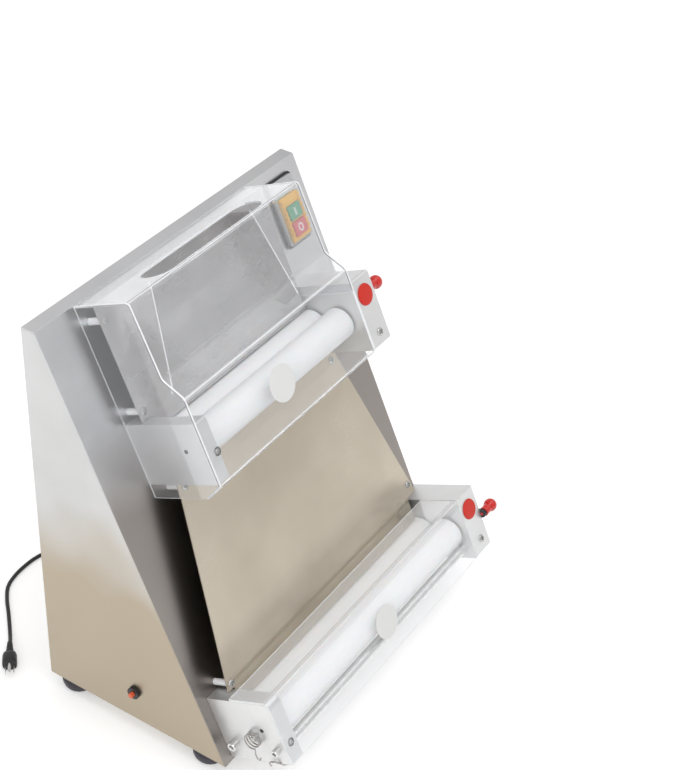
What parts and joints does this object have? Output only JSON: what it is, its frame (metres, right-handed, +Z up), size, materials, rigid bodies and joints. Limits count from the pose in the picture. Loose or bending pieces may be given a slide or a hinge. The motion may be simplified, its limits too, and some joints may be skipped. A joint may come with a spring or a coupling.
{
  "type": "dough sheeter",
  "caption": "Two-stage dough roller: sloping steel cabinet, two pairs of nylon rollers under clear guards, gap levers with ball knobs, feed plate, chute and switch.",
  "frame": {"origin": "on the floor under the middle of the machine's box, cord left out", "axes": "+Z up, the sloping front with the rollers faces -Y, +X to the machine's right (the side of the switch and the levers)"},
  "size_m": [0.6526, 0.6395, 0.7038],
  "materials": {
    "stainless_steel": "brushed",
    "bright_steel": "bright",
    "aluminium": "satin",
    "white_nylon": "satin",
    "clear_polycarbonate": "clear",
    "red_plastic": "gloss",
    "orange_plastic": "gloss",
    "black_plastic": "matte",
    "black_rubber": "matte",
    "green_plastic": "satin",
    "green_polyurethane": "satin",
    "grey_paint": "satin",
    "black_pvc": "satin"
  },
  "bodies": {
    "frame": {"base_plate": "stainless_steel", "chute_plate": "stainless_steel", "chute_spacer_low_left": "white_nylon", "chute_spacer_low_right": "white_nylon", "chute_spacer_top_left": "white_nylon", "chute_spacer_top_right": "white_nylon", "cord_coil": "black_pvc", "cord_front": "black_pvc", "cord_gland": "black_plastic", "cord_rear": "black_pvc", "foot_front_left": "black_rubber", "foot_front_right": "black_rubber", "foot_rear_left": "black_rubber", "foot_rear_right": "black_rubber", "front_panel": "stainless_steel", "gear_motor": "grey_paint", "hopper_plate": "stainless_steel", "hopper_spacer_low_left": "white_nylon", "hopper_spacer_low_right": "white_nylon", "hopper_spacer_top_left": "white_nylon", "hopper_spacer_top_right": "white_nylon", "lower_belt": "green_polyurethane", "lower_guard": "clear_polycarbonate", "lower_housing_left": "aluminium", "lower_housing_right": "aluminium", "lower_red_cap": "red_plastic", "plug": "black_pvc", "rear_cover": "stainless_steel", "reset_collar": "black_plastic", "side_panel_left": "stainless_steel", "side_panel_right": "stainless_steel", "switch_frame": "black_plastic", "tie_rod": "bright_steel", "upper_belt": "green_polyurethane", "upper_guard": "clear_polycarbonate", "upper_housing_left": "aluminium", "upper_housing_right": "aluminium", "upper_red_cap": "red_plastic"},
    "upper_rear_roller_set": {"upper_roller_rear": "white_nylon", "upper_gear_rear": "white_nylon", "upper_roller_pulley": "aluminium"},
    "upper_bearing_carriage": {"upper_bearing_left": "bright_steel", "upper_bearing_right": "bright_steel"},
    "upper_front_roller_set": {"upper_roller_front": "white_nylon", "upper_gear_front": "white_nylon"},
    "upper_lever": {"upper_gap_lever": "black_plastic"},
    "upper_knob": {"upper_ball_knob": "red_plastic"},
    "lower_rear_roller_set": {"lower_roller_rear": "white_nylon", "lower_gear_rear": "white_nylon", "lower_roller_pulley": "aluminium"},
    "lower_bearing_carriage": {"lower_bearing_left": "bright_steel", "lower_bearing_right": "bright_steel"},
    "lower_front_roller_set": {"lower_roller_front": "white_nylon", "lower_gear_front": "white_nylon"},
    "lower_lever": {"lower_gap_lever": "black_plastic"},
    "lower_knob": {"lower_ball_knob": "red_plastic"},
    "drive": {"drive_shaft": "bright_steel"},
    "green_button_body": {"green_button": "green_plastic"},
    "red_button_body": {"red_button": "red_plastic"},
    "reset_button_body": {"reset_button": "orange_plastic"}
  },
  "joints": [
    {"name": "lower_rear_roller_spin", "type": "hinge", "parent": "frame", "child": "lower_rear_roller_set", "pos_m": [-0.014, -0.11247, 0.0897], "axis": [1, 0, 0], "continuous": true},
    {"name": "lower_gap_lever_turn", "type": "hinge", "parent": "frame", "child": "lower_lever", "pos_m": [0.284, -0.15849, 0.11169], "axis": [1, 0, 0], "range_deg": [0, 60]},
    {"name": "lower_knob_pull", "type": "slide", "parent": "lower_lever", "child": "lower_knob", "axis": [1, 0, 0], "range_m": [0, 0.004], "stiffness_N_per_m": 400, "springref_m": -0.004},
    {"name": "lower_gap_slide", "type": "slide", "parent": "frame", "child": "lower_bearing_carriage", "axis": [0, -0.9022, 0.4313], "range_m": [0, 0.003]},
    {"name": "lower_front_roller_spin", "type": "hinge", "parent": "lower_bearing_carriage", "child": "lower_front_roller_set", "pos_m": [-0.014, -0.15849, 0.11169], "axis": [1, 0, 0], "continuous": true},
    {"name": "upper_rear_roller_spin", "type": "hinge", "parent": "frame", "child": "upper_rear_roller_set", "pos_m": [-0.014, 0.06321, 0.47115], "axis": [1, 0, 0], "continuous": true},
    {"name": "upper_gap_lever_turn", "type": "hinge", "parent": "frame", "child": "upper_lever", "pos_m": [0.206, 0.01719, 0.49314], "axis": [1, 0, 0], "range_deg": [0, 60]},
    {"name": "upper_knob_pull", "type": "slide", "parent": "upper_lever", "child": "upper_knob", "axis": [1, 0, 0], "range_m": [0, 0.004], "stiffness_N_per_m": 400, "springref_m": -0.004},
    {"name": "upper_gap_slide", "type": "slide", "parent": "frame", "child": "upper_bearing_carriage", "axis": [0, -0.9022, 0.4313], "range_m": [0, 0.003]},
    {"name": "upper_front_roller_spin", "type": "hinge", "parent": "upper_bearing_carriage", "child": "upper_front_roller_set", "pos_m": [-0.014, 0.01719, 0.49314], "axis": [1, 0, 0], "continuous": true},
    {"name": "drive_shaft_spin", "type": "hinge", "parent": "frame", "child": "drive", "pos_m": [0.226, 0.15307, 0.113], "axis": [1, 0, 0], "continuous": true},
    {"name": "green_button_press", "type": "slide", "parent": "frame", "child": "green_button_body", "axis": [0, 0.9022, -0.4313], "range_m": [0, 0.003], "stiffness_N_per_m": 400, "springref_m": -0.002},
    {"name": "red_button_press", "type": "slide", "parent": "frame", "child": "red_button_body", "axis": [0, 0.9022, -0.4313], "range_m": [0, 0.003], "stiffness_N_per_m": 400, "springref_m": -0.002},
    {"name": "reset_button_press", "type": "slide", "parent": "frame", "child": "reset_button_body", "axis": [1, 0, 0], "range_m": [0, 0.003], "stiffness_N_per_m": 300, "springref_m": -0.002}
  ],
  "couplings": [
    {"joint": "lower_front_roller_spin", "follows": "lower_rear_roller_spin", "ratio": -1},
    {"joint": "upper_rear_roller_spin", "follows": "lower_rear_roller_spin", "ratio": 1},
    {"joint": "upper_front_roller_spin", "follows": "lower_rear_roller_spin", "ratio": -1},
    {"joint": "drive_shaft_spin", "follows": "lower_rear_roller_spin", "ratio": 1},
    {"joint": "upper_gap_lever_turn", "follows": "upper_gap_slide", "rad_per_m": 349.06},
    {"joint": "lower_gap_lever_turn", "follows": "lower_gap_slide", "rad_per_m": 349.06}
  ]
}
